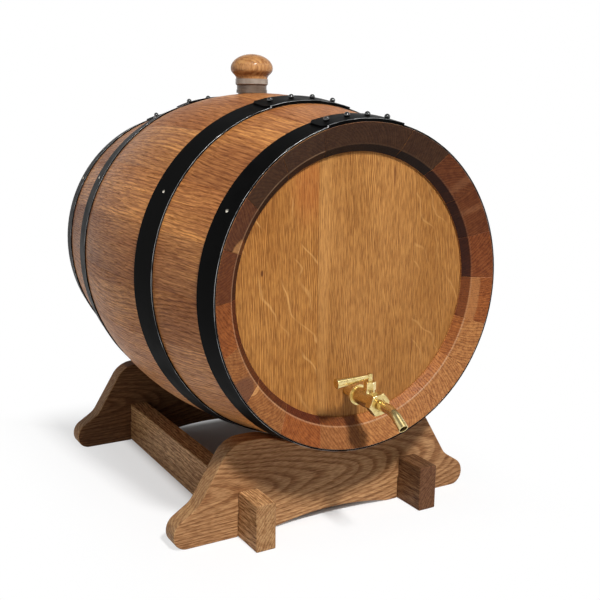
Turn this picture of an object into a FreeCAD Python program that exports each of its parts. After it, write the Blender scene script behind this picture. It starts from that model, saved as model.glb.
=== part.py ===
import FreeCAD, Part
import math
import os

# Oak cask on a cradle, with a brass tap in its front head and a bung on top. Millimetres.
# The cask lies along Y with the tap towards -Y, and +Z is up. Pieces are drawn about the middle
# of the cask's axis, then moved so that the origin is on the ground, below the middle of the whole.

# ---- Driving dimensions ----

# Cask body
cask_length = 396.0
chime_radius = 140.0            # outside of the staves at each end
flank_angle = 8.6               # degrees, slope of the straight flanks
belly_half_length = 69.0        # half of the rounded stretch between the flanks
stave_thickness = 26.5
stave_sectors = 20              # equal sectors, of which the bung stave takes two
chime_width = 17.8              # of the sloping end face, across the radius
chime_slope_depth = 9.4         # how far its inner edge lies inside the end plane

# Heads
head_depth = 17.5               # end plane to the outer face of the head
head_thickness = 18.0
croze_depth = 5.0               # groove that holds the head's rim
tongue_thickness = 8.0
head_rebate_gap = 1.5           # between the thick part of the head and the staves
head_joints = (-38.0, 62.0)     # where the head's boards meet, along X
dowel_radius = 3.0
dowel_length = 30.0
dowel_height = 48.0             # above and below the middle of the head
wood_clearance = 0.05

# Hoops: distance of the outer edge from the end plane, width, and the lap's turn towards +X
end_hoop_inset = 0.5
end_hoop_width = 25.0
quarter_hoop_inset = 96.0
quarter_hoop_width = 30.0
hoop_thickness = 1.5
hoop_clearance = 0.05
lap_turns = {"front_end": -2.3, "front_quarter": -0.6, "rear_quarter": -1.5, "rear_end": -2.5}
lap_half_angle = 16.0           # degrees
lap_corner_clip = 5.0
rivets_per_hoop = 4
rivet_pitch = 7.9               # degrees
rivet_head_radius = 2.3         # where it meets the strip
rivet_head_height = 3.6
rivet_shank_radius = 1.5
tack_angles = (-60.0, 60.0)     # degrees from the top
tack_head_radius = 1.5
tack_head_height = 0.7
tack_shank_radius = 0.8
tack_shank_length = 9.0

# Bung
bung_setback = 15.5             # behind the middle of the cask
bung_hole_radius = 14.0
bung_lift_gap = 0.3             # between the bung's rim and the highest part of the stave
stopper_rim_radius = 15.4
stopper_rim_height = 3.0
stopper_waist_radius = 14.9
stopper_collar_radius = 16.3
stopper_collar_height = 5.0
stopper_height = 13.6
stopper_plug_clearance = 0.15
stopper_plug_taper = 1.3        # how much the radius narrows towards the tip
stopper_plug_length = 21.0
knob_base_radius = 15.7
knob_radius = 21.1
knob_height = 24.3
knob_belly_height = 10.4        # height of the widest part above the knob's base
spigot_radius = 8.0
spigot_length = 12.0

# Tap
tap_offset = -5.2               # the tap hole lies a little to -X of the middle
tap_drop = 91.3                 # below the cask's axis
tail_radius = 5.25
tail_end_length = 4.0           # past the inner face of the head
tap_neck_length = 15.0
flange_radius = 9.2
flange_thickness = 2.0
tap_body_radius = 7.5
tap_body_length = 24.5
water_way_radius = 2.5
stem_reach = 33.0               # head face to the stem's axis
ball_radius = 4.2
seat_thickness = 2.6
seat_inner_radius = 2.6
valve_bore_radius = 5.0
valve_clearance = 0.05
boss_collar_radius = 4.7
boss_collar_top = 9.0           # heights are above the tap's axis
boss_radius = 3.2
boss_top = 13.0
packing_height = 2.0
gland_nut_flats = 9.3
gland_nut_top = 16.8
gland_nut_turn = 30.0           # degrees
stem_radius = 2.25
stem_top = 23.0
stem_crown = 0.9
tongue_width = 1.5
tongue_depth = 1.5
lever_height = 21.0
lever_droop = 3.5               # degrees, towards its tip
lever_length = 34.0             # from the stem's axis
lever_root_radius = 2.0
lever_tip_radius = 4.4
lever_edge = 0.4
lever_spigot_radius = 1.2
nut_chamfer = 0.3               # how far the flat end of a nut stays inside its flats
nut_chamfer_slope = 30.0        # degrees
end_nut_flats = 18.0
end_nut_length = 7.5
end_nut_turn = 9.0              # degrees
end_nut_recess_radius = 5.4
end_nut_recess_depth = 1.5
spout_radius = 4.25
spout_wall = 0.8
spout_socket_depth = 4.0        # below the bottom of the recess
spout_straight = 9.9            # past the nut's face
spout_bend_radius = 26.0
spout_bend_angle = 34.2         # degrees
spout_end_length = 10.5

# Cradle
board_thickness = 19.0
plate_inset = 69.4              # cask's end plane to the inner face of a plate
belly_clearance = 16.3          # cask's belly to the tops of the crossbars
seat_clearance = 0.3
bar_height = 43.0
bar_overhang = 35.0             # of each crossbar past the plates
bar_outer_x = 96.5
lap_joint_clearance = 0.1
foot_half_span = 158.0
foot_height = 21.2
instep_x = 134.9
instep_height = 36.2
shoulder_x = 102.8
crest_height = 89.1
foot_sole_round = 12.5
foot_toe_round = 15.0
instep_round = 22.0
shoulder_round = 27.0
crest_round = 55.0
arch_half_span = 64.0
arch_rise = 7.2

# ---- Sizes worked out from them ----

half_length = cask_length / 2
slope = math.radians(flank_angle)
flank_length = half_length - belly_half_length
chime_inner_radius = chime_radius - chime_width
plate_gap = cask_length - 2 * plate_inset
bilge_radius = chime_radius + flank_length * math.tan(slope) + belly_half_length * math.tan(slope / 2)
belly_arc_radius = belly_half_length / math.sin(slope)
sector_angle = 360.0 / stave_sectors
bar_thickness = board_thickness
axis_height = bar_height + belly_clearance + bilge_radius

X_AXIS = FreeCAD.Vector(1, 0, 0)
Y_AXIS = FreeCAD.Vector(0, 1, 0)
Z_AXIS = FreeCAD.Vector(0, 0, 1)
FORWARD = FreeCAD.Vector(0, -1, 0)
ORIGIN = FreeCAD.Vector(0, 0, 0)


def flank_radius(depth):
    """Outer radius of the staves at a depth inside the end plane, on the straight flank."""
    return chime_radius + depth * math.tan(slope)


def wall_radius(depth):
    """Inner radius of the staves at a depth inside the end plane, on the straight flank."""
    return flank_radius(depth) - stave_thickness / math.cos(slope)


# ---- Shape helpers ----

def segment(start, end):
    return Part.LineSegment(start, end).toShape()


def arc(start, middle, end):
    return Part.Arc(start, middle, end).toShape()


def bezier(*poles):
    curve = Part.BezierCurve()
    curve.setPoles(list(poles))
    return curve.toShape()


def polygon_face(points):
    return Part.Face(Part.makePolygon(list(points) + [points[0]]))


def half_plane(radius, distance):
    """A point of a turned piece's outline: radius along X, distance along the axis Z."""
    return FreeCAD.Vector(radius, 0, distance)


def placed(shape, base, direction):
    """Stand a shape drawn along +Z on a base point, pointing in a direction."""
    shape = shape.copy()
    shape.Placement = FreeCAD.Placement(base, FreeCAD.Rotation(Z_AXIS, direction))
    return shape


def turned(outline, base, direction):
    """Turn an outline of (radius, distance) pairs about its axis."""
    face = polygon_face([half_plane(radius, distance) for radius, distance in outline])
    return placed(face.revolve(ORIGIN, Z_AXIS, 360), base, direction)


def rod(radius, length, base, direction):
    return Part.makeCylinder(radius, length, base, direction)


def domed_pin(shank_radius, shank_length, head_radius, head_height, base, direction):
    """A shank below a head that is flat underneath and part of a ball on top, based at its underside."""
    tip = half_plane(0, -shank_length)
    tip_edge = half_plane(shank_radius, -shank_length)
    neck = half_plane(shank_radius, 0)
    rim = half_plane(head_radius, 0)
    ball = (head_radius ** 2 + head_height ** 2) / (2 * head_height)
    half_turn = math.acos(1 - head_height / ball) / 2
    shoulder = half_plane(ball * math.sin(half_turn), head_height - ball * (1 - math.cos(half_turn)))
    top = half_plane(0, head_height)
    edges = [segment(tip, tip_edge), segment(tip_edge, neck), arc(rim, shoulder, top), segment(top, tip)]
    if head_radius > shank_radius:
        edges.insert(2, segment(neck, rim))
    return placed(Part.Face(Part.Wire(edges)).revolve(ORIGIN, Z_AXIS, 360), base, direction)


def hexagon_nut(flats, length, turn):
    """A hexagonal block, its corners chamfered at the far end."""
    corner = X_AXIS * (flats / math.sqrt(3))
    points = [FreeCAD.Rotation(Z_AXIS, turn + 60 * k).multVec(corner) for k in range(6)]
    block = polygon_face(points).extrude(Z_AXIS * length)
    rim = flats / 2 - nut_chamfer
    cone_foot = length - (flats - rim) * math.tan(math.radians(nut_chamfer_slope))
    return block.common(turned([(0, 0), (flats, 0), (flats, cone_foot), (rim, length), (0, length)], ORIGIN, Z_AXIS))


def about_cask_axis(shape, angle):
    """Turn a shape about the cask's axis, in degrees from the top towards +X."""
    return shape.copy().rotate(ORIGIN, Y_AXIS, angle)


def mirrored_to_rear(shape):
    return shape.mirror(ORIGIN, Y_AXIS)


# ---- Staves ----

def stave_section():
    """Lengthwise section of a stave at the top of the cask, in the plane X = 0."""
    def point(radius, depth):
        return FreeCAD.Vector(0, depth - half_length, radius)

    groove_radius = wall_radius(head_depth) + croze_depth
    groove_start = head_depth - wood_clearance
    groove_end = head_depth + tongue_thickness + wood_clearance
    bevel_foot = (chime_inner_radius + chime_slope_depth - wall_radius(0)) / (1 + math.tan(slope))
    inner_arc_radius = belly_arc_radius - stave_thickness
    inner_belly_half = inner_arc_radius * math.sin(slope)
    arc_centre = bilge_radius - belly_arc_radius
    inner_corner = FreeCAD.Vector(0, -inner_belly_half, arc_centre + inner_arc_radius * math.cos(slope))
    outer_corner = point(flank_radius(flank_length), flank_length)
    front = [outer_corner, point(chime_radius, 0), point(chime_inner_radius, chime_slope_depth),
             point(wall_radius(bevel_foot), bevel_foot), point(wall_radius(groove_start), groove_start),
             point(groove_radius, groove_start), point(groove_radius, groove_end),
             point(wall_radius(groove_end), groove_end), inner_corner]
    rear = [FreeCAD.Vector(p.x, -p.y, p.z) for p in front]
    inner_top = FreeCAD.Vector(0, 0, bilge_radius - stave_thickness)
    outer_top = FreeCAD.Vector(0, 0, bilge_radius)
    edges = [segment(a, b) for a, b in zip(front, front[1:])]
    edges.append(arc(front[-1], inner_top, rear[-1]))
    edges += [segment(b, a) for a, b in reversed(list(zip(rear, rear[1:])))]
    edges.append(arc(rear[0], outer_top, front[0]))
    return Part.Face(Part.Wire(edges))


def stave(first_sector, sectors):
    """A stave between two sector lines, counted from the bung stave's middle towards +X."""
    section = about_cask_axis(stave_section(), first_sector * sector_angle)
    return section.revolve(ORIGIN, Y_AXIS, sectors * sector_angle)


# ---- Hoops, rivets and tacks ----

hoops = {
    "front_end": (end_hoop_inset, end_hoop_width, False),
    "front_quarter": (quarter_hoop_inset, quarter_hoop_width, False),
    "rear_quarter": (quarter_hoop_inset, quarter_hoop_width, True),
    "rear_end": (end_hoop_inset, end_hoop_width, True),
}


def hoop_layer(inset, width, layer, first_angle, angle):
    """One layer of a hoop's strip, drawn at the front end."""
    inner_gap = hoop_clearance + layer * hoop_thickness
    corners = [(inset, inner_gap), (inset + width, inner_gap),
               (inset + width, inner_gap + hoop_thickness), (inset, inner_gap + hoop_thickness)]
    section = polygon_face([FreeCAD.Vector(0, depth - half_length, flank_radius(depth) + gap)
                            for depth, gap in corners])
    return about_cask_axis(section, first_angle).revolve(ORIGIN, Y_AXIS, angle)


def outward_frame(depth, angle):
    """A point on the stave's surface at the front half, and the outward direction there."""
    base = FreeCAD.Vector(0, depth - half_length, flank_radius(depth) + hoop_clearance)
    normal = FreeCAD.Vector(0, -math.sin(slope), math.cos(slope))
    turn = FreeCAD.Rotation(Y_AXIS, angle)
    return turn.multVec(base), turn.multVec(normal)


def corner_clips(inset, width, angle):
    """Prisms that clip both corners of the lap's end, whose edge lies at an angle."""
    reach = 4 * hoop_thickness
    clips = []
    for edge, inward in ((inset, 1), (inset + width, -1)):
        along = edge - half_length
        level = flank_radius(edge) + hoop_clearance + hoop_thickness
        points = [FreeCAD.Vector(0, along - inward, level), FreeCAD.Vector(lap_corner_clip, along - inward, level),
                  FreeCAD.Vector(0, along + inward * lap_corner_clip, level)]
        clips.append(about_cask_axis(polygon_face(points).extrude(Z_AXIS * reach), angle))
    return clips


def rivet_angles(name):
    middle = lap_turns[name]
    return [middle + rivet_pitch * (k - (rivets_per_hoop - 1) / 2) for k in range(rivets_per_hoop)]


def hoop(name):
    inset, width, at_rear = hoops[name]
    ring = hoop_layer(inset, width, 0, 0, 360)
    lap_start = lap_turns[name] - lap_half_angle
    lap = hoop_layer(inset, width, 1, lap_start, 2 * lap_half_angle)
    lap = lap.cut(Part.makeCompound(corner_clips(inset, width, lap_start)))
    strip = ring.fuse(lap)
    middle_depth = inset + width / 2
    holes = []
    for angle in rivet_angles(name):
        base, normal = outward_frame(middle_depth, angle)
        hole_length = 4 * hoop_thickness
        holes.append(rod(rivet_shank_radius + wood_clearance, hole_length, base - normal * hoop_thickness, normal))
    for angle in tack_angles:
        base, normal = outward_frame(middle_depth, angle)
        hole_length = 3 * hoop_thickness
        holes.append(rod(tack_shank_radius + wood_clearance, hole_length, base - normal * hoop_thickness, normal))
    strip = strip.cut(Part.makeCompound(holes)).removeSplitter()
    return mirrored_to_rear(strip) if at_rear else strip


def hoop_rivets(name):
    inset, width, at_rear = hoops[name]
    rivets = []
    for angle in rivet_angles(name):
        base, normal = outward_frame(inset + width / 2, angle)
        shank_length = 2 * hoop_thickness + wood_clearance
        rivets.append(domed_pin(rivet_shank_radius, shank_length, rivet_head_radius, rivet_head_height,
                                base + normal * shank_length, normal))
    group = Part.makeCompound(rivets)
    return mirrored_to_rear(group) if at_rear else group


def tack_frames():
    """Surface point, outward direction and end of every tack."""
    return [(outward_frame(inset + width / 2, angle), at_rear)
            for inset, width, at_rear in hoops.values() for angle in tack_angles]


def hoop_tacks():
    tacks = []
    for (base, normal), at_rear in tack_frames():
        tack = domed_pin(tack_shank_radius, tack_shank_length, tack_head_radius, tack_head_height,
                         base + normal * (hoop_thickness + wood_clearance), normal)
        tacks.append(mirrored_to_rear(tack) if at_rear else tack)
    return Part.makeCompound(tacks)


def tack_holes():
    holes = []
    for (base, normal), at_rear in tack_frames():
        depth = tack_shank_length
        hole = rod(tack_shank_radius + wood_clearance, 2 * depth, base - normal * depth, normal)
        holes.append(mirrored_to_rear(hole) if at_rear else hole)
    return Part.makeCompound(holes)


# ---- Heads ----

def head_disc():
    """The front head before it is split into boards."""
    rim_radius = wall_radius(head_depth) + croze_depth - wood_clearance
    thick_radius = wall_radius(head_depth) - head_rebate_gap
    outline = [(0, 0), (rim_radius, 0), (rim_radius, tongue_thickness), (thick_radius, tongue_thickness),
               (thick_radius, head_thickness), (0, head_thickness)]
    return turned(outline, FreeCAD.Vector(0, head_depth - half_length, 0), Y_AXIS)


def dowels(radius, length):
    middle_y = head_depth + head_thickness / 2 - half_length
    starts = [FreeCAD.Vector(joint - length / 2, middle_y, side * dowel_height)
              for joint in head_joints for side in (-1, 1)]
    return Part.makeCompound([rod(radius, length, start, X_AXIS) for start in starts])


def head_boards():
    """The boards of the front head, from -X to +X, with their dowel holes."""
    disc = head_disc().cut(dowels(dowel_radius + wood_clearance, dowel_length + 2 * wood_clearance))
    edges = (-chime_radius,) + head_joints + (chime_radius,)
    boards = []
    for left, right in zip(edges, edges[1:]):
        corner = FreeCAD.Vector(left, -half_length, -chime_radius)
        slab = Part.makeBox(right - left, half_length, 2 * chime_radius, corner)
        boards.append(disc.common(slab))
    return boards


# ---- Bung ----

bung_seat = FreeCAD.Vector(0, bung_setback, bilge_radius + bung_lift_gap)


def bung_stopper():
    plug_radius = bung_hole_radius - stopper_plug_clearance
    socket_radius = spigot_radius + wood_clearance
    socket_floor = stopper_height - spigot_length - wood_clearance
    rim_step = stopper_rim_radius - stopper_waist_radius
    collar_foot = stopper_height - stopper_collar_height
    collar_step = stopper_collar_radius - stopper_waist_radius
    outline = [(0, -stopper_plug_length), (plug_radius - stopper_plug_taper, -stopper_plug_length),
               (plug_radius, 0), (stopper_rim_radius, 0), (stopper_rim_radius, stopper_rim_height),
               (stopper_waist_radius, stopper_rim_height + rim_step),
               (stopper_waist_radius, collar_foot - collar_step),
               (stopper_collar_radius, collar_foot), (stopper_collar_radius, stopper_height),
               (socket_radius, stopper_height), (socket_radius, socket_floor), (0, socket_floor)]
    return turned(outline, bung_seat, Z_AXIS)


def bung_knob():
    base = stopper_height
    belly = base + knob_belly_height
    top = base + knob_height
    round_pull = 0.55           # how far each curve follows its end's direction
    widest = half_plane(knob_radius, belly)
    peak = half_plane(0, top)
    foot = half_plane(knob_base_radius, base)
    spigot = [half_plane(spigot_radius, base), half_plane(spigot_radius, base - spigot_length),
              half_plane(0, base - spigot_length)]
    edges = [
        bezier(peak, half_plane(knob_radius * round_pull, top),
               half_plane(knob_radius, belly + (top - belly) * round_pull), widest),
        bezier(widest, half_plane(knob_radius, belly - knob_belly_height * round_pull),
               half_plane(knob_base_radius, base + knob_belly_height * (1 - round_pull)), foot),
        segment(foot, spigot[0]), segment(spigot[0], spigot[1]), segment(spigot[1], spigot[2]),
        segment(spigot[2], peak)]
    return placed(Part.Face(Part.Wire(edges)).revolve(ORIGIN, Z_AXIS, 360), bung_seat, Z_AXIS)


# ---- Tap ----

tap_base = FreeCAD.Vector(tap_offset, head_depth - half_length, -tap_drop)
tap_body_start = tap_neck_length + flange_thickness
tap_body_end = tap_body_start + tap_body_length
end_nut_face = tap_body_end + end_nut_length
ball_centre = tap_base + FORWARD * stem_reach
seat_back = ball_radius + seat_thickness / 3    # ball's centre to the back of each seat


def on_stem(height):
    return ball_centre + Z_AXIS * height


def tap_body():
    tail = head_thickness + tail_end_length
    outline = [(0, -tail), (tail_radius, -tail), (tail_radius, tap_neck_length), (flange_radius, tap_neck_length),
               (flange_radius, tap_body_start), (tap_body_radius, tap_body_start), (tap_body_radius, tap_body_end),
               (0, tap_body_end)]
    body = turned(outline, tap_base, FORWARD)
    body = body.fuse(rod(boss_collar_radius, boss_collar_top, ball_centre, Z_AXIS))
    body = body.fuse(rod(boss_radius, boss_top, ball_centre, Z_AXIS))
    way = rod(water_way_radius, tail + stem_reach, tap_base - FORWARD * tail, FORWARD)
    valve_start = stem_reach - seat_back - valve_clearance
    valve_bore = rod(valve_bore_radius, tap_body_end - valve_start, tap_base + FORWARD * valve_start, FORWARD)
    stem_bore = rod(stem_radius + valve_clearance, boss_top, ball_centre, Z_AXIS)
    return body.cut(Part.makeCompound([way, valve_bore, stem_bore])).removeSplitter()


def ball_seat(side):
    """A sealing ring behind (side -1) or before (side 1) the ball."""
    start = ball_centre + FORWARD * (side * (seat_back - seat_thickness))
    ring = rod(valve_bore_radius - valve_clearance, seat_thickness, start, FORWARD * side)
    ring = ring.cut(rod(seat_inner_radius, seat_thickness, start, FORWARD * side))
    return ring.cut(Part.makeSphere(ball_radius + valve_clearance, ball_centre))


def tap_ball():
    ball = Part.makeSphere(ball_radius, ball_centre)
    way = rod(water_way_radius, 2 * ball_radius, ball_centre - X_AXIS * ball_radius, X_AXIS)
    slot_width = tongue_width + 2 * valve_clearance
    slot_floor = on_stem(ball_radius - tongue_depth - valve_clearance)
    slot_corner = slot_floor - FreeCAD.Vector(ball_radius, slot_width / 2, 0)
    slot = Part.makeBox(2 * ball_radius, slot_width, 2 * ball_radius, slot_corner)
    return ball.cut(Part.makeCompound([way, slot]))


lever_way = FreeCAD.Vector(-math.cos(math.radians(lever_droop)), 0, -math.sin(math.radians(lever_droop)))


def tap_stem():
    stem = domed_pin(stem_radius, stem_top - ball_radius, stem_radius, stem_crown, on_stem(stem_top), Z_AXIS)
    tongue_corner = on_stem(ball_radius - tongue_depth) - FreeCAD.Vector(stem_radius, tongue_width / 2, 0)
    tongue = Part.makeBox(2 * stem_radius, tongue_width, tongue_depth, tongue_corner)
    tongue = tongue.common(rod(stem_radius, tongue_depth, on_stem(ball_radius - tongue_depth), Z_AXIS))
    lever_hole = rod(lever_spigot_radius + valve_clearance, 2 * stem_radius,
                     on_stem(lever_height) - lever_way * stem_radius, lever_way)
    return stem.fuse(tongue).cut(lever_hole).removeSplitter()


def stem_packing():
    outer = boss_radius - valve_clearance
    inner = stem_radius + valve_clearance
    outline = [(inner, 0), (outer, 0), (outer, packing_height), (inner, packing_height)]
    return turned(outline, on_stem(boss_top), Z_AXIS)


def gland_nut():
    lid = boss_top + packing_height
    nut = hexagon_nut(gland_nut_flats, gland_nut_top - boss_collar_top, gland_nut_turn)
    nut = placed(nut, on_stem(boss_collar_top), Z_AXIS)
    foot = on_stem(boss_collar_top)
    thread = rod(boss_radius + valve_clearance, lid - boss_collar_top, foot, Z_AXIS)
    stem_hole = rod(stem_radius + valve_clearance, gland_nut_top - boss_collar_top, foot, Z_AXIS)
    return nut.cut(Part.makeCompound([thread, stem_hole]))


def tap_lever():
    root = stem_radius + valve_clearance + lever_root_radius * math.sin(math.radians(lever_droop))
    outline = [(0, -stem_radius), (lever_spigot_radius, -stem_radius), (lever_spigot_radius, root),
               (lever_root_radius, root), (lever_tip_radius, lever_length - lever_edge),
               (lever_tip_radius - lever_edge, lever_length), (0, lever_length)]
    return turned(outline, on_stem(lever_height), lever_way)


def end_nut():
    nut = hexagon_nut(end_nut_flats, end_nut_length, end_nut_turn)
    nut = placed(nut, tap_base + FORWARD * tap_body_end, FORWARD)
    seat_front = stem_reach + seat_back + valve_clearance
    spigot_base = tap_base + FORWARD * seat_front
    spigot = rod(valve_bore_radius - valve_clearance, tap_body_end - seat_front, spigot_base, FORWARD)
    way = rod(seat_inner_radius, end_nut_face - seat_front, spigot_base, FORWARD)
    recess_base = tap_base + FORWARD * (end_nut_face - end_nut_recess_depth)
    recess = rod(end_nut_recess_radius, end_nut_recess_depth, recess_base, FORWARD)
    socket_base = recess_base - FORWARD * spout_socket_depth
    socket = rod(spout_radius + valve_clearance, spout_socket_depth, socket_base, FORWARD)
    return nut.fuse(spigot).cut(Part.makeCompound([way, socket, recess])).removeSplitter()


def spout():
    start = tap_base + FORWARD * (end_nut_face - end_nut_recess_depth - spout_socket_depth)
    bend_start = tap_base + FORWARD * (end_nut_face + spout_straight)
    bend_centre = bend_start - Z_AXIS * spout_bend_radius
    ring = Part.makeCylinder(spout_radius, 1, bend_start, FORWARD).cut(
        Part.makeCylinder(spout_radius - spout_wall, 1, bend_start, FORWARD))
    section = [face for face in ring.Faces if abs(face.CenterOfMass.y - bend_start.y) < 1e-6][0]
    inlet = section.extrude(start - bend_start)
    bend = section.revolve(bend_centre, X_AXIS, spout_bend_angle)
    end_section = section.copy().rotate(bend_centre, X_AXIS, spout_bend_angle)
    outlet = end_section.extrude(spout_direction * spout_end_length)
    return inlet.fuse([bend, outlet]).removeSplitter()


bend_turn = math.radians(spout_bend_angle)
spout_direction = FreeCAD.Vector(0, -math.cos(bend_turn), -math.sin(bend_turn))
spout_tip = (tap_base + FORWARD * (end_nut_face + spout_straight + spout_bend_radius * math.sin(bend_turn))
             - Z_AXIS * (spout_bend_radius * (1 - math.cos(bend_turn))) + spout_direction * spout_end_length)


# ---- Cradle, drawn with its sole at height 0 ----

plate_seat_radius = flank_radius(half_length - plate_gap / 2) + seat_clearance


def flat(x, z):
    """A point of a plate's outline."""
    return FreeCAD.Vector(x, 0, z)


def rounded_corner(before, corner, after, radius):
    """Tangent points and middle of the arc that rounds a corner."""
    to_before = (before - corner).normalize()
    to_after = (after - corner).normalize()
    half_angle = to_before.getAngle(to_after) / 2
    bisector = (to_before + to_after).normalize()
    reach = radius / math.tan(half_angle)
    centre = corner + bisector * (radius / math.sin(half_angle))
    return corner + to_before * reach, centre - bisector * radius, corner + to_after * reach


def plate_half_edges():
    """Outline of the +X half of a plate, from the arch's end to the edge of the cask's seat."""
    crest_centre_z = crest_height - crest_round
    reach = plate_seat_radius + crest_round
    crest_centre_x = math.sqrt(reach ** 2 - (axis_height - crest_centre_z) ** 2)
    crest_start = flat(crest_centre_x, crest_height)
    to_axis = (flat(0, axis_height) - flat(crest_centre_x, crest_centre_z)).normalize()
    crest_middle_way = (to_axis + Z_AXIS).normalize()
    crest_middle = flat(crest_centre_x, crest_centre_z) + crest_middle_way * crest_round
    seat_edge = flat(crest_centre_x, crest_centre_z) + to_axis * crest_round
    corners = [(flat(foot_half_span, 0), foot_sole_round), (flat(foot_half_span, foot_height), foot_toe_round),
               (flat(instep_x, instep_height), instep_round), (flat(shoulder_x, crest_height), shoulder_round)]
    points = [flat(arch_half_span, 0)] + [corner for corner, radius in corners] + [crest_start]
    edges = []
    last = points[0]
    for k, (corner, radius) in enumerate(corners):
        first, middle, end = rounded_corner(points[k], corner, points[k + 2], radius)
        edges.append(segment(last, first))
        edges.append(arc(first, middle, end))
        last = end
    edges.append(segment(last, crest_start))
    edges.append(arc(crest_start, crest_middle, seat_edge))
    return edges, seat_edge


def plate_blank():
    right, seat_edge = plate_half_edges()
    left = [edge.mirror(ORIGIN, X_AXIS) for edge in right]
    arch = arc(flat(-arch_half_span, 0), flat(0, arch_rise), flat(arch_half_span, 0))
    seat = arc(flat(-seat_edge.x, seat_edge.z), flat(0, axis_height - plate_seat_radius), seat_edge)
    outline = Part.Wire(Part.__sortEdges__(right + left + [arch, seat]))
    return Part.Face(outline).extrude(Y_AXIS * board_thickness)


def cradle_plate(inner_y):
    """A plate whose inner face is at inner_y, notched from below over both crossbars."""
    plate = plate_blank()
    plate.translate(FreeCAD.Vector(0, inner_y if inner_y > 0 else inner_y - board_thickness, 0))
    notch_width = bar_thickness + 2 * lap_joint_clearance
    notches = []
    for side in (-1, 1):
        middle = side * (bar_outer_x - bar_thickness / 2)
        corner = FreeCAD.Vector(middle - notch_width / 2, -cask_length, -bar_height)
        notches.append(Part.makeBox(notch_width, 2 * cask_length, bar_height * 1.5, corner))
    return plate.cut(Part.makeCompound(notches))


def crossbar(side):
    """A crossbar, notched from above under both plates."""
    length = plate_gap + 2 * (board_thickness + bar_overhang)
    left = bar_outer_x * side - bar_thickness * (1 + side) / 2
    bar = Part.makeBox(bar_thickness, length, bar_height, FreeCAD.Vector(left, -length / 2, 0))
    notch_length = board_thickness + 2 * lap_joint_clearance
    for end in (-1, 1):
        middle = end * (plate_gap + board_thickness) / 2
        corner = FreeCAD.Vector(left - bar_thickness, middle - notch_length / 2, bar_height / 2)
        bar = bar.cut(Part.makeBox(3 * bar_thickness, notch_length, bar_height, corner))
    return bar


# ---- Every piece, by name ----

cask_pieces = {}
bung_hole = rod(bung_hole_radius, 2 * stave_thickness, bung_seat - Z_AXIS * (2 * stave_thickness), Z_AXIS)
cask_pieces["bung_stave"] = stave(-1, 2).cut(bung_hole)
nail_holes = tack_holes()
for number in range(1, stave_sectors - 1):
    cask_pieces["stave_%02d" % number] = stave(number, 1).cut(nail_holes)

tap_hole = rod(tail_radius + wood_clearance, cask_length, tap_base - Y_AXIS * half_length, Y_AXIS)
for board_name, board in zip(("left", "middle", "right"), head_boards()):
    cask_pieces["front_head_%s_board" % board_name] = board.cut(tap_hole)
    cask_pieces["rear_head_%s_board" % board_name] = mirrored_to_rear(board)
cask_pieces["front_head_dowels"] = dowels(dowel_radius, dowel_length)
cask_pieces["rear_head_dowels"] = mirrored_to_rear(dowels(dowel_radius, dowel_length))

for hoop_name in hoops:
    cask_pieces[hoop_name + "_hoop"] = hoop(hoop_name)
    cask_pieces[hoop_name + "_hoop_rivets"] = hoop_rivets(hoop_name)
cask_pieces["hoop_tacks"] = hoop_tacks()

cask_pieces["bung_stopper"] = bung_stopper()
cask_pieces["bung_knob"] = bung_knob()

cask_pieces.update({
    "tap_body": tap_body(),
    "tap_inner_ball_seat": ball_seat(-1),
    "tap_outer_ball_seat": ball_seat(1),
    "tap_ball": tap_ball(),
    "tap_stem": tap_stem(),
    "tap_stem_packing": stem_packing(),
    "tap_gland_nut": gland_nut(),
    "tap_lever": tap_lever(),
    "tap_end_nut": end_nut(),
    "tap_spout": spout(),
})

cradle_pieces = {
    "front_plate": cradle_plate(-plate_gap / 2),
    "rear_plate": cradle_plate(plate_gap / 2),
    "left_crossbar": crossbar(-1),
    "right_crossbar": crossbar(1),
}

# The whole is centred lengthwise between the spout's lip and the rear end of the cask.
lip_offset = FreeCAD.Vector(0, -math.sin(bend_turn), math.cos(bend_turn)) * spout_radius
centring = -((spout_tip + lip_offset).y + half_length) / 2
cask_place = FreeCAD.Vector(0, centring, axis_height)
cradle_place = FreeCAD.Vector(0, centring, 0)

os.makedirs("parts", exist_ok=True)
for pieces, place in ((cask_pieces, cask_place), (cradle_pieces, cradle_place)):
    for name, shape in pieces.items():
        shape.translate(place)
        shape.exportStep("parts/%s.step" % name)
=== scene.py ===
import bpy
import math
import random
from mathutils import Matrix, Vector


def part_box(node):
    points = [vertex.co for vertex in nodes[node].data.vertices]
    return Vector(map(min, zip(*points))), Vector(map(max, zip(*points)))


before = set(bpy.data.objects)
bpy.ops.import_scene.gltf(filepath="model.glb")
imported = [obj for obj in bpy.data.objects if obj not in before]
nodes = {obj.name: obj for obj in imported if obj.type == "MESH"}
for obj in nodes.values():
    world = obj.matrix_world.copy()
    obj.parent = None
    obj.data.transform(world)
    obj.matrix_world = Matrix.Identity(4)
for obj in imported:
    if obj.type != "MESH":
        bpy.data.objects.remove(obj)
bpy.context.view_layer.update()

# ---- Places on the object, in metres ----

rim_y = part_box("bung_stave")[0].y
cask_end_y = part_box("bung_stave")[1].y
cask_middle_y = (rim_y + cask_end_y) / 2
half_length = (cask_end_y - rim_y) / 2
front_end = -half_length
# The lower joint of this stave is level with the cask's axis.
axis_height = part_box("stave_04")[0].z
head_face_y = {"front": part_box("front_head_middle_board")[0].y, "rear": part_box("rear_head_middle_board")[1].y}
sector = 360.0 / 20

# The cask's bulge, which the staves' grain follows: cones at the ends and a curve between them.
flank_angle = math.radians(8.6)
belly_half_length = 0.069
belly_curve_radius = belly_half_length / math.sin(flank_angle)
belly_radius = (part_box("stave_04")[1].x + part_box("stave_05")[1].x) / 2
lip_depth = 0.0094

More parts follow.
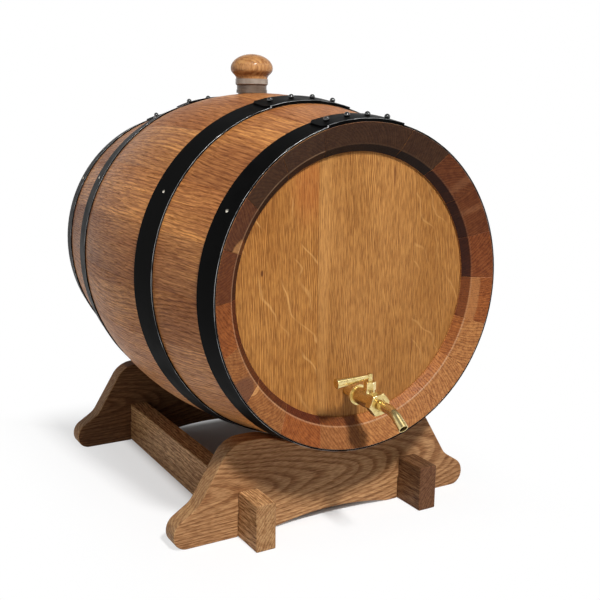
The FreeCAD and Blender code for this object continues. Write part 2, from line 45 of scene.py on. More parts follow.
# The rectangle round the cradle's feet.
foot_half_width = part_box("right_crossbar")[0].x
foot_half_length = (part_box("rear_plate")[0].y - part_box("front_plate")[1].y) / 2
foot_middle_y = (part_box("rear_plate")[0].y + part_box("front_plate")[1].y) / 2


# ---- Building materials out of nodes ----

class Shader:
    """The nodes of one material or world. Each call adds a node and gives back its output."""

    def __init__(self, name, owners=bpy.data.materials):
        self.owner = owners.new(name)
        self.owner.use_nodes = True
        self.tree = self.owner.node_tree
        self.tree.nodes.clear()

    def node(self, kind, inputs, output=0, **settings):
        made = self.tree.nodes.new("ShaderNode" + kind)
        for name, value in settings.items():
            setattr(made, name, value)
        for name, value in inputs.items():
            if isinstance(value, bpy.types.NodeSocket):
                self.tree.links.new(value, made.inputs[name])
            else:
                made.inputs[name].default_value = value
        return made.outputs[output] if made.outputs else made

    def math(self, operation, *values):
        return self.node("Math", dict(enumerate(values)), operation=operation)

    def vector(self, operation, *values):
        return self.node("VectorMath", dict(enumerate(values)), operation=operation)

    def length(self, vector):
        return self.node("VectorMath", {0: vector}, output="Value", operation="LENGTH")

    def split(self, vector):
        """The vector's three numbers."""
        return self.node("SeparateXYZ", {0: vector}).node.outputs

    def join(self, x, y, z):
        return self.node("CombineXYZ", {0: x, 1: y, 2: z})

    def mix(self, factor, first, second, blend="MIX"):
        """The second colour over the first. Sockets 6 and 7 and output 2 are the Mix node's colours."""
        return self.node("Mix", {0: factor, 6: first, 7: second}, output=2, data_type="RGBA",
                         blend_type=blend, clamp_factor=True)

    def tinted(self, colour, tint):
        """The colour darkened by a tint."""
        return self.mix(1.0, colour, tint, blend="MULTIPLY")

    def noise(self, vector, scale, detail=2.0, roughness=0.5):
        """Soft noise, which mostly lies between 0.3 and 0.7."""
        return self.node("TexNoise", {"Vector": vector, "Scale": scale, "Detail": detail, "Roughness": roughness})

    def grain_noise(self, place, scale, detail=2.0, roughness=0.5):
        """Noise drawn out along Y. The scale is how often it repeats in a metre across the grain and along it."""
        across, along = scale
        return self.noise(self.vector("MULTIPLY", place, (across, along, across)), 1.0, detail, roughness)

    def swing(self, noise, reach):
        """Noise moved to lie around 0, from minus half the reach to plus half of it."""
        return self.math("MULTIPLY", self.math("SUBTRACT", noise, 0.5), reach)

    def step(self, value, low, high, to_low=0.0, to_high=1.0):
        """A smooth step from to_low to to_high as the value goes from low to high."""
        inputs = {"Value": value, "From Min": low, "From Max": high, "To Min": to_low, "To Max": to_high}
        return self.node("MapRange", inputs, interpolation_type="SMOOTHSTEP")

    def object_place(self):
        return self.node("TexCoord", {}, output="Object")

    def object_normal(self):
        return self.node("TexCoord", {}, output="Normal")

    def finish(self, colour, roughness, bump, bump_height, **sockets):
        """The finished material. The bump's height is in metres."""
        inputs = {"Base Color": colour, "Roughness": roughness}
        inputs.update({name.replace("_", " "): value for name, value in sockets.items()})
        inputs["Normal"] = self.node("Bump", {"Height": bump, "Strength": 1.0, "Distance": bump_height})
        self.node("OutputMaterial", {"Surface": self.node("BsdfPrincipled", inputs)})
        return self.owner


def rgb(red, green, blue):
    """A colour given as it looks on a screen, from 0 to 255."""
    def linear(value):
        value /= 255.0
        return value / 12.92 if value <= 0.04045 else ((value + 0.055) / 1.055) ** 2.4
    return (linear(red), linear(green), linear(blue), 1.0)


def paint(node_name, material):
    mesh = nodes[node_name].data
    mesh.materials.clear()
    mesh.materials.append(material)


# ---- Oak ----

# How often each noise in the oak repeats in a metre, across the grain and along it. The fibres repeat
# along it about as often as the pores.
slow_scale = (16.0, 5.0)
ragged_scale = (110.0, 30.0)
bend_scale = (22.0, 44.0)
streak_scale = (330.0, 8.0)
fibre_scale = 1150.0
hair_scale = (1900.0, 170.0)
stain_scale = (70.0, 5.0)
end_mottle_scale = (300.0, 40.0)
fleck_sway_scale = (22.0, 24.0)
fleck_place_scale = (34.0, 22.0)

# How far the growth rings wander, in metres, and how uneven their widths are, in rings.
ring_wander = 0.018
ring_unevenness = 2.2
ring_unevenness_scale = 110.0

# Ray flecks lean across the board as they run along it, and lie this far apart, in metres.
fleck_lean = 0.55
fleck_spacing = 0.019
fleck_sway = 0.045

# Tints that darken the wood under them.
white = rgb(255, 255, 255)
ring_tint = rgb(196, 172, 152)
fibre_tint = rgb(172, 150, 130)
pore_tint = rgb(132, 104, 86)
end_mottle_tint = rgb(196, 172, 156)
end_ring_tint = rgb(188, 166, 150)

# Colours that lie over the wood.
fleck_colour = rgb(208, 158, 96)
# The lip's lighter line is partly rubbed wear and partly a painted highlight.
rubbed_highlight_colour = rgb(214, 176, 140)

# Stains are this share as strong as streaks, and fine pores as the other pores.
stain_share = 0.7
fine_pore_share = 0.55

# How much the outline of a patch follows the rings' wander.
patch_raggedness = 40.0
oak_specular = 0.16
oak_relief = 0.00010


def grain_place(shader, turn, centre, bent):
    """Coordinates in which X goes across the board, Y along its grain and Z out of its face."""
    place = shader.vector("SUBTRACT", shader.object_place(), centre)
    place = shader.node("VectorRotate", {"Vector": place, "Rotation": turn}, rotation_type="EULER_XYZ")
    if not bent:
        return place
    # A stave is bent, so its grain follows the bulge: out starts at the outer face all along the cask.
    across, along, out = shader.split(place)
    reach = shader.math("ABSOLUTE", along)
    near = shader.math("MINIMUM", reach, belly_half_length)
    drop = shader.math("DIVIDE", shader.math("POWER", near, 2.0), 2 * belly_curve_radius)
    far = shader.math("SUBTRACT", reach, near)
    drop = shader.math("ADD", drop, shader.math("MULTIPLY", far, math.tan(flank_angle)))
    out = shader.math("SUBTRACT", shader.math("ADD", out, drop), belly_radius)
    return shader.join(across, along, out)


def growth_rings(shader, place, wave, pith, slant, ring_width, shift):
    """How much early wood shows: 1 at the start of each year's ring, fading over half of it."""
    across, along, out = shader.split(place)
    from_heart_x = shader.math("SUBTRACT", across, pith[0])
    leaning = shader.math("MULTIPLY", along, slant)
    from_heart_z = shader.math("ADD", shader.math("SUBTRACT", out, pith[1]), leaning)
    squares = shader.math("ADD", shader.math("POWER", from_heart_x, 2.0), shader.math("POWER", from_heart_z, 2.0))
    distance = shader.math("ADD", shader.math("SQRT", squares), wave)
    along_radius = shader.join(shader.math("MULTIPLY", distance, ring_unevenness_scale), shift, 0.0)
    uneven = shader.math("MULTIPLY", shader.noise(along_radius, 1.0, detail=1.0), ring_unevenness)
    phase = shader.math("FRACT", shader.math("ADD", shader.math("DIVIDE", distance, ring_width), uneven))
    return shader.math("MULTIPLY", shader.step(phase, 0.0, 0.14), shader.step(phase, 0.22, 0.70, 1.0, 0.0))


def ray_flecks(shader, apart, strength):
    """The light wavy lines that show where the saw runs along oak's rays."""
    across, along, _ = shader.split(apart)
    sway = shader.math("MULTIPLY", shader.grain_noise(apart, fleck_sway_scale), fleck_sway)
    across = shader.math("ADD", across, shader.math("MULTIPLY", along, fleck_lean))
    across = shader.math("ADD", across, sway)
    phase = shader.math("FRACT", shader.math("DIVIDE", across, fleck_spacing))
    line = shader.step(shader.math("ABSOLUTE", shader.math("SUBTRACT", phase, 0.5)), 0.02, 0.075, 1.0, 0.0)
    where = shader.step(shader.grain_noise(apart, fleck_place_scale, detail=1.0), 0.48, 0.64)
    return shader.math("MULTIPLY", shader.math("MULTIPLY", line, where), strength)


def inside_the_lip(shader, place, cut, tint, rubbed_highlight):
    """The bevel behind the chime's lip is tinted darker as painted shade, and the lip itself is made lighter,
    partly as rubbed wear and partly as a painted highlight.
    """
    depth = shader.math("SUBTRACT", half_length, shader.math("ABSOLUTE", shader.split(place)[1]))
    bevel_shade = shader.step(depth, lip_depth, lip_depth + 0.0008)
    cut = shader.mix(bevel_shade, cut, shader.tinted(cut, tint))
    from_lip = shader.math("ABSOLUTE", shader.math("SUBTRACT", depth, lip_depth))
    return shader.mix(shader.step(from_lip, 0.0002, 0.0006, rubbed_highlight, 0.0), cut, rubbed_highlight_colour)


def end_grain(shader, apart, early, end_colour):
    mottle = shader.grain_noise(apart, end_mottle_scale, detail=3.0)
    dark_mottle = shader.tinted(end_colour, end_mottle_tint)
    cut = shader.mix(shader.step(mottle, 0.3, 0.7, 0.0, 0.75), end_colour, dark_mottle)
    return shader.mix(shader.math("MULTIPLY", early, 0.45), cut, shader.tinted(cut, end_ring_tint))


def oak(name, turn, centre, seed, light, dark, end_colour, pith=(0.08, -0.05), slant=0.01, ring_width=0.0018,
        ring_contrast=0.40, pore_contrast=0.55, fibre_contrast=0.9, streak_contrast=0.75, roughness=0.42,
        waviness=0.0016, raggedness=0.0022, pore_scale=(1500.0, 110.0), end_axis=1, bent=False, flecks=0.0,
        lip_shade_and_highlight=None, patches=()):
    """Oiled oak, cut out of one log whose heart runs beside the board.

    turn and centre take the board to its grain coordinates. pith is the heart's place across and below
    the board's face, and slant is how far the heart leans towards the face along the grain. waviness and
    raggedness are how far the fibres and the rings swing, in metres, and roughness is that of the smoothest
    wood. end_axis is the object's axis that the board's ends face along, 0 for X to 2 for Z. A patch is a
    lighter or darker piece of the board: its middle, half sizes, colour, strength and softness.
    """
    shader = Shader(name)
    draw = random.Random(seed)
    # Each board takes its noise from another place, so that no two look alike.
    shift = (draw.uniform(-9, 9), draw.uniform(-9, 9), draw.uniform(-9, 9))
    place = grain_place(shader, turn, centre, bent)
    apart = shader.vector("ADD", place, shift)

    slow = shader.grain_noise(apart, slow_scale)
    wave = shader.swing(slow, ring_wander)
    wave = shader.math("ADD", wave, shader.swing(shader.grain_noise(apart, ragged_scale), raggedness))
    early = growth_rings(shader, place, wave, pith, slant, ring_width, shift[0])

    # The fibres run a little wavy, and the streaks, stains and pores run with them.
    bend = shader.swing(shader.grain_noise(apart, bend_scale), waviness)
    fibres = shader.vector("ADD", apart, shader.join(bend, 0.0, bend))
    streak = shader.grain_noise(fibres, streak_scale, detail=3.0, roughness=0.62)
    stain = shader.grain_noise(fibres, stain_scale, detail=4.0, roughness=0.65)
    fibre = shader.grain_noise(fibres, (fibre_scale, 0.9 * pore_scale[1]), detail=1.0, roughness=0.6)
    dash = shader.grain_noise(fibres, pore_scale, roughness=0.6)
    hair = shader.grain_noise(fibres, hair_scale, detail=1.0)

    # More pores open in the early wood.
    pore_limit = shader.math("SUBTRACT", 0.56, shader.math("MULTIPLY", early, 0.09))
    pores = shader.step(shader.math("SUBTRACT", dash, pore_limit), 0.0, 0.14)
    fine_pores = shader.step(hair, 0.58, 0.72)

    colour = shader.mix(shader.step(slow, 0.32, 0.68), light, dark)
    colour = shader.mix(shader.step(streak, 0.30, 0.72, 0.0, streak_contrast), colour, dark)
    deeper = shader.tinted(colour, ring_tint)
    colour = shader.mix(shader.math("MULTIPLY", early, ring_contrast), colour, deeper)
    colour = shader.mix(shader.step(stain, 0.56, 0.74, 0.0, stain_share * streak_contrast), colour, deeper)
    fibre_tone = shader.mix(shader.step(fibre, 0.34, 0.66), white, fibre_tint)
    colour = shader.mix(fibre_contrast, colour, shader.tinted(colour, fibre_tone))
    if flecks:
        colour = shader.mix(ray_flecks(shader, apart, flecks), colour, fleck_colour)

    # End grain is another colour, without the streaks. The patches lie over both.
    cut = end_grain(shader, apart, early, end_colour)
    for middle, half_sizes, tint, strength, softness in patches:
        near = shader.vector("DIVIDE", shader.vector("SUBTRACT", place, middle), half_sizes)
        reach = shader.math("ADD", shader.length(near), shader.math("MULTIPLY", wave, patch_raggedness))
        inside = shader.step(reach, 1.0 - softness, 1.0 + softness, strength, 0.0)
        cut = shader.mix(inside, cut, tint)
        colour = shader.mix(inside, colour, tint)
    # Behind the chime's lip the bevel takes painted shade, and the lip a lighter line that is partly wear and
    # partly a painted highlight.
    if lip_shade_and_highlight:
        cut = inside_the_lip(shader, place, cut, *lip_shade_and_highlight)
    facing = shader.split(shader.object_normal())[end_axis]
    colour = shader.mix(shader.step(shader.math("ABSOLUTE", facing), 0.35, 0.50), colour, cut)

    fine = shader.math("MULTIPLY", fine_pores, pore_contrast * fine_pore_share)
    pore_strength = shader.math("MAXIMUM", shader.math("MULTIPLY", pores, pore_contrast), fine)
    colour = shader.mix(pore_strength, colour, shader.tinted(colour, pore_tint))

    relief = shader.math("SUBTRACT", shader.math("MULTIPLY", streak, 0.5), shader.math("MULTIPLY", pores, 0.9))
    relief = shader.math("SUBTRACT", relief, shader.math("MULTIPLY", early, 0.2))
    rough = shader.step(slow, 0.3, 0.7, roughness, roughness + 0.10)
    rough = shader.math("ADD", shader.math("MULTIPLY", pores, 0.20), rough)
    return shader.finish(colour, rough, relief, oak_relief, Specular_IOR_Level=oak_specular)


# ---- The cask's staves and heads ----

# Where the staves' ends differ: each is the colour of the end grain. Their long faces are nearly alike.
end_tones = {
    "umber": rgb(70, 44, 24), "walnut": rgb(98, 57, 32), "chestnut": rgb(106, 58, 28),
    "russet": rgb(124, 68, 33), "rust": rgb(146, 84, 40), "amber": rgb(150, 98, 54), "tan": rgb(170, 116, 66),
}
stave_ends = {
    "bung_stave": "umber", "stave_01": "umber", "stave_02": "chestnut", "stave_03": "chestnut",
    "stave_04": "russet", "stave_05": "rust", "stave_06": "tan", "stave_07": "tan", "stave_08": "tan",
    "stave_09": "tan", "stave_10": "amber", "stave_11": "rust", "stave_12": "amber", "stave_13": "amber",
    "stave_14": "rust", "stave_15": "chestnut", "stave_16": "walnut", "stave_17": "umber", "stave_18": "umber",
}
# The tint of the bevel behind the lip, a painted shade that is darkest at the top, and how far the lip itself is
# made lighter, partly as rubbed
# wear and partly as a painted highlight: dull on the left, warm at the lower right. Each goes on up to and
# including the stave whose number stands with its name.
lip_shades_and_highlights = {
    "upper": (rgb(122, 106, 94), 0.03), "right": (rgb(176, 146, 120), 0.08),
    "turning": (rgb(224, 198, 166), 0.20), "lower_right": (rgb(255, 238, 208), 0.30),
    "bottom": (rgb(206, 182, 156), 0.20), "left": (rgb(158, 128, 112), 0.24),
}
lip_ends = ((4, "upper"), (5, "right"), (6, "turning"), (9, "lower_right"), (10, "bottom"), (19, "left"))

sapwood = rgb(186, 134, 82)
heartwood = rgb(96, 60, 42)
pale_streak = rgb(150, 100, 66)
end_patches = {
    "stave_02": [((0.010, front_end, -0.004), (0.004, 0.05, 0.016), pale_streak, 0.3, 0.6)],
    "stave_03": [((-0.004, front_end, -0.008), (0.003, 0.05, 0.018), pale_streak, 0.3, 0.6)],
    "stave_05": [((0.004, front_end, -0.020), (0.032, 0.05, 0.0095), sapwood, 0.35, 0.10)],
    "stave_12": [((0.024, front_end, -0.019), (0.0075, 0.028, 0.010), sapwood, 0.9, 0.05)],
    "stave_13": [((-0.013, front_end, -0.002), (0.0105, 0.028, 0.018), heartwood, 0.85, 0.20)],
    "stave_16": [((-0.021, front_end, -0.022), (0.014, 0.028, 0.009), sapwood, 0.65, 0.12)],
}
stave_grain = {
    "ring_contrast": 0.52, "pore_contrast": 0.46, "fibre_contrast": 0.72, "streak_contrast": 0.88,
    "waviness": 0.0030, "pore_scale": (1300.0, 62.0),
}
first_stave_seed = 40


def dress_staves():
    for index, (name, end_tone) in enumerate(stave_ends.items()):
        angle = 0.0 if name == "bung_stave" else (index + 0.5) * sector
        seed = first_stave_seed + index
        draw = random.Random(seed)
        shade = draw.uniform(0.955, 1.035)
        warm = draw.uniform(0.96, 1.03)
        light = rgb(234 * shade, 166 * shade, 94 * shade * warm)
        dark = rgb(178 * shade, 114 * shade, 64 * shade * warm)
        pith = (draw.choice((-1, 1)) * draw.uniform(0.03, 0.11), -draw.uniform(0.03, 0.07))
        slant = draw.uniform(-0.06, 0.06)
        ring_width = draw.uniform(0.0020, 0.0030)
        side = next(side for last, side in lip_ends if index <= last)
        material = oak("stave_oak_%02d" % index, (0, -math.radians(angle), 0), (0, cask_middle_y, axis_height),
                       seed, light, dark, end_tones[end_tone], pith=pith, slant=slant, ring_width=ring_width,
                       bent=True, lip_shade_and_highlight=lip_shades_and_highlights[side], patches=end_patches.get(name, ()), **stave_grain)
        paint(name, material)


head_oak = (rgb(194, 141, 79), rgb(172, 120, 61))
red_head_oak = (rgb(196, 141, 75), rgb(173, 118, 57))
head_end_colour = rgb(140, 92, 52)
head_grain = {
    "slant": 0.015, "ring_width": 0.0014, "ring_contrast": 0.90, "pore_contrast": 0.40, "fibre_contrast": 0.55,
    "streak_contrast": 0.38, "roughness": 0.40, "raggedness": 0.0012, "waviness": 0.0007,
    "pore_scale": (1700.0, 100.0),
}
# Each board: its side, its middle's X, its pith, seed, colours and the strength of its ray flecks.
head_boards = (
    ("left", -0.08, (0.16, -0.05), 71, red_head_oak, 0.50),
    ("middle", 0.01, (-0.20, -0.02), 72, head_oak, 0.0),
    ("right", 0.09, (-0.12, -0.05), 73, head_oak, 0.30),
)
rear_seed_step = 10
knot, reddish_oak, pale_band = rgb(84, 44, 22), rgb(164, 92, 44), rgb(200, 146, 84)
dark_line, darker_line = rgb(110, 62, 30), rgb(104, 56, 28)
front_head_marks = {
    "left": [((-0.011, 0.019, 0.0), (0.0011, 0.0026, 0.01), knot, 0.9, 0.4),
             ((0.032, 0.088, 0.0), (0.014, 0.026, 0.05), reddish_oak, 0.45, 0.7)],
    "middle": [((0.028, 0.094, 0.0), (0.0010, 0.009, 0.01), dark_line, 0.7, 0.5),
               ((-0.042, 0.0, 0.0), (0.0050, 0.4, 0.05), pale_band, 0.30, 0.7)],
    "right": [((-0.027, -0.057, 0.0), (0.0008, 0.008, 0.01), darker_line, 0.7, 0.5),
              ((-0.034, -0.095, 0.0), (0.0009, 0.007, 0.01), darker_line, 0.7, 0.5)],
}


def dress_heads():
    for end, turn, seed_step, marks in (("front", 0.0, 0, front_head_marks), ("rear", math.pi, rear_seed_step, {})):
        for side, x, pith, seed, colours, flecks in head_boards:
            centre = (x, head_face_y[end], axis_height)
            material = oak("head_oak_%s_%s" % (end, side), (-math.pi / 2, 0, turn), centre, seed + seed_step,
                           *colours, head_end_colour, pith=pith, end_axis=2, flecks=flecks,
                           patches=marks.get(side, ()), **head_grain)
            paint("%s_head_%s_board" % (end, side), material)


# ---- The cradle, the knob and the dowels ----

# The rear plate and the right crossbar take a darker copy of this oak as painted shade, and the left crossbar a
# lighter copy as painted light.
plain_cradle_oak = (rgb(206, 160, 112), rgb(168, 124, 84))
shaded_cradle_oak = (rgb(150, 112, 76), rgb(116, 82, 54))
painted_light_cradle_oak = (rgb(246, 202, 148), rgb(208, 162, 112))
cradle_end_colour = rgb(182, 142, 98)
shaded_end_colour = rgb(116, 80, 54)
plate_grain = {
    "pith": (0.0, -0.03), "slant": 0.14, "ring_width": 0.0032, "ring_contrast": 0.68, "raggedness": 0.0010,
    "pore_contrast": 0.42, "fibre_contrast": 0.62, "roughness": 0.5,
}
bar_grain = {"pith": (0.05, -0.04), "slant": 0.03, "ring_width": 0.0024, "ring_contrast": 0.6, "roughness": 0.5}


def dress_cradle():
    # The rear plate's darker colours are painted shade.
    for name, seed, colours in (("front_plate", 91, plain_cradle_oak), ("rear_plate", 92, shaded_cradle_oak)):
        low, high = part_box(name)
        centre = ((low.x + high.x) / 2, low.y, high.z / 2)
        material = oak("cradle_oak_" + name, (math.pi / 2, 0, math.pi / 2), centre, seed, *colours,
                       cradle_end_colour, end_axis=0, **plate_grain)
        paint(name, material)
    # The left crossbar's lighter colours are painted light, and the right one's darker colours painted shade.
    for name, seed, colours, end_colour in (
            ("left_crossbar", 93, painted_light_cradle_oak, cradle_end_colour),
            ("right_crossbar", 94, shaded_cradle_oak, shaded_end_colour)):
        low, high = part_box(name)
        centre = ((low.x + high.x) / 2, cask_middle_y, high.z / 2)
        paint(name, oak("cradle_oak_" + name, (0, 0, 0), centre, seed, *colours, end_colour, **bar_grain))


knob_oak = (rgb(204, 154, 102), rgb(188, 134, 82), rgb(190, 140, 88))
knob_grain = {
    "pith": (0.09, 0.06), "ring_width": 0.0026, "ring_contrast": 0.10, "pore_contrast": 0.25,
    "fibre_contrast": 0.6, "roughness": 0.20,
}
dowel_wood = (rgb(216, 184, 140), rgb(196, 160, 116), rgb(206, 172, 128))


def dress_small_wood():
    low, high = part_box("bung_knob")
    centre = ((low.x + high.x) / 2, (low.y + high.y) / 2, high.z)
    paint("bung_knob", oak("knob_wood", (math.pi / 2, 0, 0), centre, 101, *knob_oak, end_axis=2, **knob_grain))
    for end in ("front", "rear"):
        dowel = oak("dowel_wood_" + end, (0, 0, math.pi / 2), (0, 0, axis_height), 102, *dowel_wood,
                    ring_contrast=0.2, end_axis=0)
        paint(end + "_head_dowels", dowel)


# ---- Steel, brass and silicone ----

bare_edge_colour = rgb(205, 205, 205)
hoop_roughness = 0.36


def black_steel(name, front_y, rear_y):
    """Black paint, rubbed down to the steel along both edges of the strip."""
    shader = Shader(name)
    place = shader.object_place()
    mottle = shader.noise(place, 60.0, detail=3.0)
    speck = shader.noise(place, 900.0)
    colour = shader.mix(shader.step(mottle, 0.3, 0.7), rgb(4, 4, 4), rgb(9, 9, 9))
    # On the rounded edges the normal leans between the strip's face and its end.
    lean = shader.math("ABSOLUTE", shader.split(shader.object_normal())[1])
    rounded = shader.math("MULTIPLY", shader.step(lean, 0.35, 0.60), shader.step(lean, 0.80, 0.97, 1.0, 0.0))
    y = shader.split(place)[1]
    from_edge = shader.math("MINIMUM", shader.math("SUBTRACT", y, front_y), shader.math("SUBTRACT", rear_y, y))
    rounded = shader.math("MULTIPLY", rounded, shader.step(from_edge, 0.0005, 0.0008, 1.0, 0.0))
    worn = shader.math("MULTIPLY", rounded, shader.step(mottle, 0.35, 0.60, 0.25, 1.0))
    colour = shader.mix(worn, colour, bare_edge_colour)
    rough = shader.step(mottle, 0.25, 0.75, hoop_roughness, hoop_roughness + 0.12)
    return shader.finish(colour, rough, speck, 0.00002, Metallic=worn, Specular_IOR_Level=0.012)


def glossy_black(name):
    shader = Shader(name)
    speck = shader.noise(shader.object_place(), 500.0)
    colour = shader.mix(shader.step(speck, 0.3, 0.7), rgb(5, 5, 5), rgb(10, 10, 10))
    rough = shader.step(speck, 0.3, 0.7, 0.08, 0.14)
    return shader.finish(colour, rough, speck, 0.000002, Specular_IOR_Level=1.0)


def dress_hoops():
    rivet_steel = glossy_black("rivet_steel")
    for name in ("front_end", "front_quarter", "rear_quarter", "rear_end"):
        low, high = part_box(name + "_hoop")
        paint(name + "_hoop", black_steel("hoop_steel_" + name, low.y, high.y))
        paint(name + "_hoop_rivets", rivet_steel)


def metal(name, colour, tarnish, roughness, metallic=1.0, bump_height=0.000003):
    """Bare metal with faint tarnish and fine polishing marks."""
    shader = Shader(name)
    place = shader.object_place()
    cloud = shader.noise(place, 240.0, detail=4.0, roughness=0.6)
    marks = shader.noise(shader.vector("MULTIPLY", place, (1.0, 6.0, 1.0)), 900.0)
    tint = shader.mix(shader.step(cloud, 0.35, 0.75), colour, tarnish)
    rough = shader.step(cloud, 0.3, 0.8, roughness, roughness + 0.08)
    return shader.finish(tint, rough, marks, bump_height, Metallic=metallic)


def dress_metal():
    brass = metal("tap_brass", rgb(228, 206, 146), rgb(202, 176, 112), 0.17, metallic=0.93,
                  bump_height=0.000001)
    for name in ("tap_body", "tap_gland_nut", "tap_stem", "tap_lever", "tap_end_nut", "tap_spout"):
        paint(name, brass)
    paint("hoop_tacks", metal("tack_steel", rgb(226, 220, 205), rgb(180, 172, 156), 0.22))
    paint("tap_ball", metal("ball_chrome", rgb(222, 222, 226), rgb(200, 200, 205), 0.08))


stopper_collar_height = 0.0052
under_collar_tint = rgb(170, 158, 148)


def dress_stopper():
    shader = Shader("stopper_silicone")
    place = shader.object_place()
    cloud = shader.noise(place, 130.0, detail=3.0)
    collar_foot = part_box("bung_stopper")[1].z - stopper_collar_height
    under_collar = shader.step(shader.split(place)[2], collar_foot - 0.0006, collar_foot, 1.0, 0.0)
    colour = shader.mix(shader.step(cloud, 0.3, 0.7), rgb(178, 164, 150), rgb(150, 132, 116))
    colour = shader.mix(under_collar, colour, shader.tinted(colour, under_collar_tint))
    rough = shader.step(cloud, 0.3, 0.7, 0.30, 0.42)
    paint("bung_stopper", shader.finish(colour, rough, cloud, 0.0001, Transmission_Weight=0.25, IOR=1.41))


def dress_seals():
    shader = Shader("valve_seal")
    cloud = shader.noise(shader.object_place(), 300.0)
    colour = shader.mix(shader.step(cloud, 0.3, 0.7), rgb(236, 234, 228), rgb(220, 216, 206))
    seal = shader.finish(colour, 0.45, cloud, 0.00002)
    for name in ("tap_inner_ball_seat", "tap_outer_ball_seat", "tap_stem_packing"):
        paint(name, seal)


# ---- Softened edges ----

# An edge is sharp where its faces lean apart by more than this.
sharp_from = math.radians(12.0)
# Faces that lean apart by less than this are one flat.
flat_within = math.radians(0.2)
# Points closer together than this, in metres, are one.
joint_reach = 0.000005


def joined_faces():
    """A node group that joins the faces of a CAD piece along their shared edges and shades them crisply."""
    group = bpy.data.node_groups.new("joined faces", "GeometryNodeTree")
    group.interface.new_socket("Geometry", in_out="INPUT", socket_type="NodeSocketGeometry")
    group.interface.new_socket("Geometry", in_out="OUTPUT", socket_type="NodeSocketGeometry")
    mesh_in, mesh_out = group.nodes.new("NodeGroupInput"), group.nodes.new("NodeGroupOutput")
    merge = group.nodes.new("GeometryNodeMergeByDistance")
    merge.inputs["Distance"].default_value = joint_reach
    angle = group.nodes.new("GeometryNodeInputMeshEdgeAngle")
    sharp = group.nodes.new("FunctionNodeCompare")
    sharp.inputs[1].default_value = sharp_from
    normal = group.nodes.new("GeometryNodeSetMeshNormal")
    normal.inputs["Remove Custom"].default_value = True
    link = group.links.new
    link(mesh_in.outputs[0], merge.inputs[0])
    link(merge.outputs[0], normal.inputs["Mesh"])
    link(angle.outputs["Unsigned Angle"], sharp.inputs[0])
    link(sharp.outputs[0], normal.inputs["Edge Sharpness"])
    link(normal.outputs[0], mesh_out.inputs[0])
    return group


def soften(name, join_group, width, segments=2):
    """A small round on all of a node's sharp edges."""
    piece = nodes[name]
    piece.modifiers.new("joined faces", "NODES").node_group = join_group
    flat = piece.modifiers.new("whole flats", "DECIMATE")
    flat.decimate_type = "DISSOLVE"
    flat.angle_limit = flat_within
    bevel = piece.modifiers.new("edge round", "BEVEL")
    bevel.width = width
    bevel.segments = segments
    bevel.limit_method = "ANGLE"
    bevel.angle_limit = sharp_from
    bevel.use_clamp_overlap = False
    bevel.harden_normals = True


def soften_edges():
    join_group = joined_faces()
    for name in nodes:
        if "stave" in name:
            soften(name, join_group, 0.0004)
        elif name.endswith(("_plate", "_crossbar")):
            soften(name, join_group, 0.0012, segments=3)
        elif name.endswith(("_board", "_hoop")):
            soften(name, join_group, 0.0003)
        elif name in ("tap_body", "tap_gland_nut", "tap_end_nut", "tap_lever", "tap_spout"):
            soften(name, join_group, 0.00025)


# ---- Floor, light and camera ----

def seen_directly(shader):
    """1 for rays from the eye, also by way of a reflection or through glass, and 0 for the light they gather."""
    path = shader.node("LightPath", {}).node.outputs
    seen = shader.math("MAXIMUM", path["Is Camera Ray"], path["Is Glossy Ray"])
    return shader.math("MAXIMUM", seen, path["Is Transmission Ray"])


paper_light, paper_dark = rgb(250, 250, 250), rgb(247, 247, 247)
paper_bounce = rgb(195, 195, 195)
plain_white = (1.0, 1.0, 1.0, 1.0)
floor_half_size = 30.0


def floor_material():
    """White paper that keeps the object's shadow near it and fades to plain white further off."""
    shader = Shader("floor_white")
    seen = seen_directly(shader)
    place = shader.object_place()
    ground = shader.noise(place, 3.0)
    white_paper = shader.mix(shader.step(ground, 0.3, 0.7), paper_light, paper_dark)
    tint = shader.mix(seen, paper_bounce, white_paper)
    paper = shader.node("BsdfPrincipled", {"Base Color": tint, "Roughness": 0.9, "Specular IOR Level": 0.1})
    plain = shader.node("Emission", {"Color": plain_white, "Strength": 1.0})

    # How far a place lies outside the cradle's feet, and how much of the plain white shows there: most of
    # it from close by, all of it from the last distance.
    x, y, _ = shader.split(place)
    beside = shader.math("SUBTRACT", shader.math("ABSOLUTE", x), foot_half_width)
    before = shader.math("ABSOLUTE", shader.math("SUBTRACT", y, foot_middle_y))
    before = shader.math("SUBTRACT", before, foot_half_length)
    outside = shader.math("MAXIMUM", beside, before)
    close_by = shader.step(outside, 0.004, 0.034, 0.0, 0.62)
    fade = shader.math("ADD", close_by, shader.step(outside, 0.034, 0.17, 0.0, 0.38))
    surface = shader.node("MixShader", {0: shader.math("MULTIPLY", seen, fade), 1: paper, 2: plain})
    shader.node("OutputMaterial", {"Surface": surface})
    return shader.owner


def build_floor():
    half = floor_half_size
    mesh = bpy.data.meshes.new("floor")
    mesh.from_pydata([(-half, -half, 0), (half, -half, 0), (half, half, 0), (-half, half, 0)], [], [(0, 1, 2, 3)])
    floor = bpy.data.objects.new("floor", mesh)
    bpy.context.scene.collection.objects.link(floor)
    mesh.materials.append(floor_material())


# The world's strength for the eye and as light on the object, and the share of both that its ceiling has.
wall_strength = 1.0
fill_strength = 0.16
ceiling_share = 0.25


def build_world():
    """White walls around, a grey ceiling for metal to show, and an even dim light on the object."""
    shader = Shader("studio", bpy.data.worlds)
    bpy.context.scene.world = shader.owner
    seen = seen_directly(shader)
    height = shader.split(shader.node("TexCoord", {}, output="Generated"))[2]
    wall = shader.step(height, 0.30, 0.75, 1.0, ceiling_share)
    strength = shader.math("MULTIPLY", wall, shader.step(seen, 0.0, 1.0, fill_strength, wall_strength))
    background = shader.node("Background", {"Color": plain_white, "Strength": strength})
    shader.node("OutputWorld", {"Surface": background})


# All lights aim at this point of the cask's axis.
light_target = Vector((0.0, 0.0, axis_height))
key_way = Vector((-0.05, -0.68, 0.73)).normalized()
key_distance = 2.4
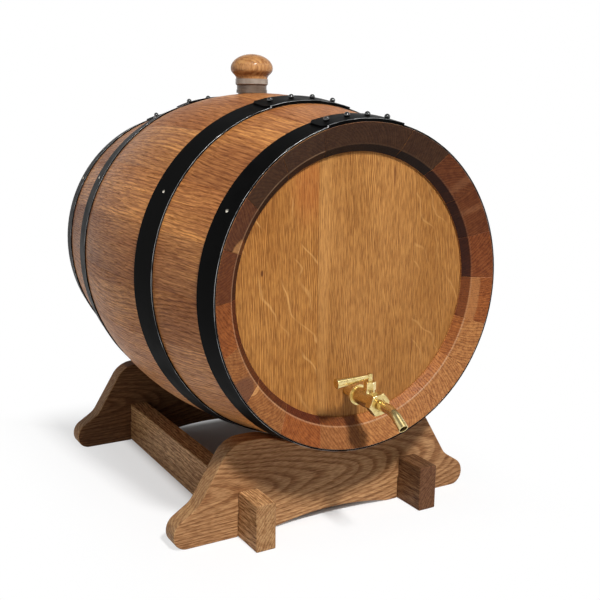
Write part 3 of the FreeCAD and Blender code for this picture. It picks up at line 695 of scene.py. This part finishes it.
# Each light: its place from there, its size, its power in watts, and whether it lights the wood and
# shows in the metal.
lights = {
    "key": (key_distance * key_way, (0.26, 0.26), 70.0, True, True),
    "left_fill": (Vector((-2.0, -1.3, 0.4)), (1.6, 1.2), 6.0, True, True),
    "rear_fill": (Vector((0.3, 2.4, 0.1)), (1.6, 1.0), 15.0, True, False),
    "right_box": (Vector((1.0, -0.6, 0.8)), (0.5, 0.8), 2.3, False, True),
    "ceiling_box": (Vector((0.2, -0.6, 1.3)), (0.7, 0.7), 2.7, False, True),
}


def build_lights():
    """A key light in front and above, weak fills from the left and behind, and two boxes for metal to show."""
    for name, (offset, size, power, lights_wood, shows_in_metal) in lights.items():
        data = bpy.data.lights.new(name, "AREA")
        data.shape = "RECTANGLE"
        data.size, data.size_y = size
        data.energy = power
        light = bpy.data.objects.new(name, data)
        light.visible_diffuse = lights_wood
        light.visible_glossy = shows_in_metal
        place = light_target + offset
        light.location = place
        light.rotation_euler = (light_target - place).to_track_quat("-Z", "Y").to_euler()
        bpy.context.scene.collection.objects.link(light)


# The camera stands where the photograph was taken, in front of the cask and to its left.
camera_from_rim = Vector((-0.4263, -0.6186, 0.1482))
camera_azimuth = math.radians(-30.26)
camera_elevation = math.radians(11.834)
camera_roll = math.radians(0.688)
camera_lens = 54.23
camera_sensor = 36.0


def build_camera():
    data = bpy.data.cameras.new("camera")
    data.lens = camera_lens
    data.sensor_width = camera_sensor
    data.sensor_fit = "HORIZONTAL"
    data.clip_start = 0.05
    camera = bpy.data.objects.new("camera", data)
    back = Vector((math.sin(camera_azimuth) * math.cos(camera_elevation),
                   -math.cos(camera_azimuth) * math.cos(camera_elevation), math.sin(camera_elevation)))
    right = Vector((0, 0, 1)).cross(back).normalized()
    up = back.cross(right)
    rolled_right = right * math.cos(camera_roll) + up * math.sin(camera_roll)
    rolled_up = up * math.cos(camera_roll) - right * math.sin(camera_roll)
    facing = Matrix((rolled_right, rolled_up, back)).transposed().to_4x4()
    rim_centre = Vector((0.0, rim_y, axis_height))
    camera.matrix_world = Matrix.Translation(rim_centre + camera_from_rim) @ facing
    bpy.context.scene.collection.objects.link(camera)
    bpy.context.scene.camera = camera


dress_staves()
dress_heads()
dress_cradle()
dress_small_wood()
dress_hoops()
dress_metal()
dress_stopper()
dress_seals()
soften_edges()
build_floor()
build_world()
build_lights()
build_camera()
bpy.context.scene.view_settings.view_transform = "Standard"
